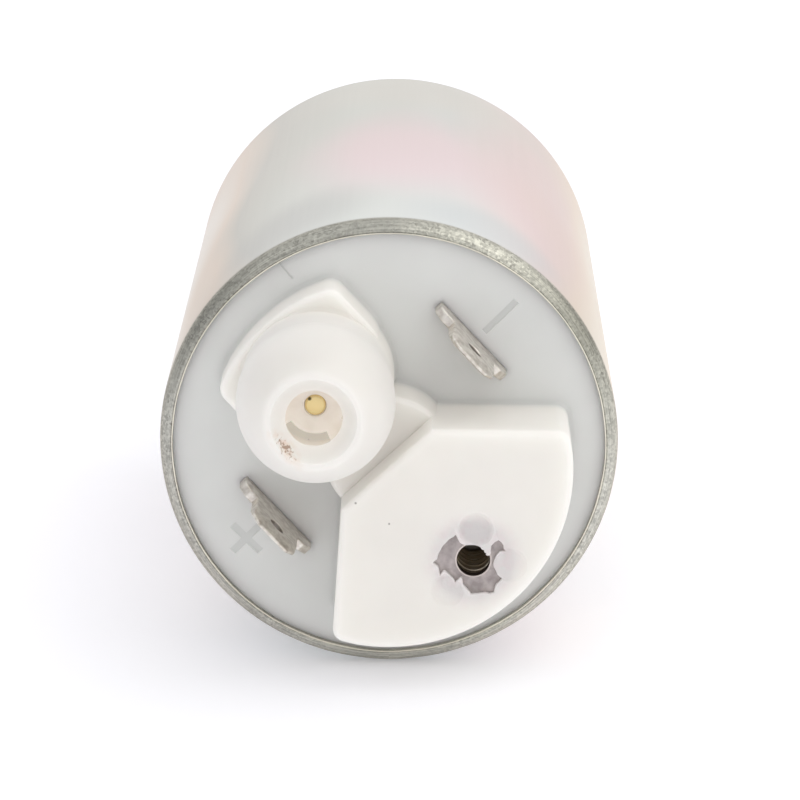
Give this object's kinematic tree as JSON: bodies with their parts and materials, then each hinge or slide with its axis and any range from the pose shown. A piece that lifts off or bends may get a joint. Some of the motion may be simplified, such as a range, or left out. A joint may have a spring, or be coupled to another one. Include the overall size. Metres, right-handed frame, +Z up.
{
  "type": "fuel pump",
  "caption": "In-tank electric fuel pump: crimped steel can, plastic outlet cover with hose nozzle, relief valve block and blade terminals.",
  "frame": {"origin": "middle of the can, on its axis", "axes": "Y runs along the can, -Y out of the outlet end and +Y out of the inlet end; +Z is up with the pump lying on its side, +X completes the frame"},
  "size_m": [0.038, 0.0879, 0.038],
  "materials": {
    "plated_steel": "zinc plated",
    "grey_acetal": "moulded, fine matt",
    "cast_aluminium": "cast, satin",
    "sand_acetal": "moulded",
    "natural_acetal": "moulded",
    "spring_steel": "bright wire",
    "brass": "turned",
    "seal_rubber": "moulded",
    "punched_steel": "dull, punched",
    "polished_steel": "ground",
    "tinned_brass": "tin plated",
    "copper": "bare and enamelled copper",
    "ferrite": "sintered",
    "sintered_bronze": "sintered",
    "core_steel": "laminated",
    "phenolic": "moulded",
    "carbon": "pressed"
  },
  "bodies": {
    "pump_case": {"motor_can": "plated_steel", "outlet_cover": "grey_acetal", "inlet_cover": "cast_aluminium", "pump_body": "cast_aluminium", "check_valve_guide": "sand_acetal", "check_valve_seat": "natural_acetal", "check_valve_spring": "spring_steel", "relief_valve_washer": "punched_steel", "relief_valve_spring": "spring_steel", "terminal_positive": "tinned_brass", "terminal_negative": "tinned_brass", "brush_spring_positive": "spring_steel", "brush_spring_negative": "spring_steel", "brush_lead_positive": "copper", "brush_lead_negative": "copper", "choke_core_positive": "ferrite", "choke_core_negative": "ferrite", "choke_coil_positive": "copper", "choke_coil_negative": "copper", "upper_bearing": "sintered_bronze", "lower_bearing": "sintered_bronze", "magnet_left": "ferrite", "magnet_right": "ferrite", "magnet_clip_upper": "spring_steel", "magnet_clip_lower": "spring_steel", "thrust_pad": "polished_steel"},
    "rotor": {"armature_shaft": "polished_steel", "armature_core": "core_steel", "armature_insulator_upper": "natural_acetal", "armature_insulator_lower": "natural_acetal", "armature_windings": "copper", "commutator_hub": "phenolic", "commutator_segments": "copper", "thrust_washer": "natural_acetal", "impeller": "phenolic"},
    "check_valve": {"check_valve_stem": "brass", "check_valve_seal": "seal_rubber"},
    "relief_ball": {"relief_valve_ball": "polished_steel"},
    "brush_plus": {"brush_positive": "carbon"},
    "brush_minus": {"brush_negative": "carbon"}
  },
  "joints": [
    {"name": "armature_spin", "type": "hinge", "parent": "pump_case", "child": "rotor", "pos_m": [0, 0, 0], "axis": [0, 1, 0], "continuous": true},
    {"name": "check_valve_lift", "type": "slide", "parent": "pump_case", "child": "check_valve", "axis": [0, -1, 0], "range_m": [0, 0.0012], "stiffness_N_per_m": 400, "springref_m": -0.002, "deforming": ["check_valve_spring"]},
    {"name": "relief_valve_lift", "type": "slide", "parent": "pump_case", "child": "relief_ball", "axis": [0, -1, 0], "range_m": [0, 0.0009], "stiffness_N_per_m": 2500, "springref_m": -0.0014, "deforming": ["relief_valve_spring"]},
    {"name": "brush_positive_retract", "type": "slide", "parent": "pump_case", "child": "brush_plus", "axis": [0, -1, 0], "range_m": [0, 0.002], "stiffness_N_per_m": 300, "springref_m": -0.003, "deforming": ["brush_spring_positive", "brush_lead_positive"]},
    {"name": "brush_negative_retract", "type": "slide", "parent": "pump_case", "child": "brush_minus", "axis": [0, -1, 0], "range_m": [0, 0.002], "stiffness_N_per_m": 300, "springref_m": -0.003, "deforming": ["brush_spring_negative", "brush_lead_negative"]}
  ]
}
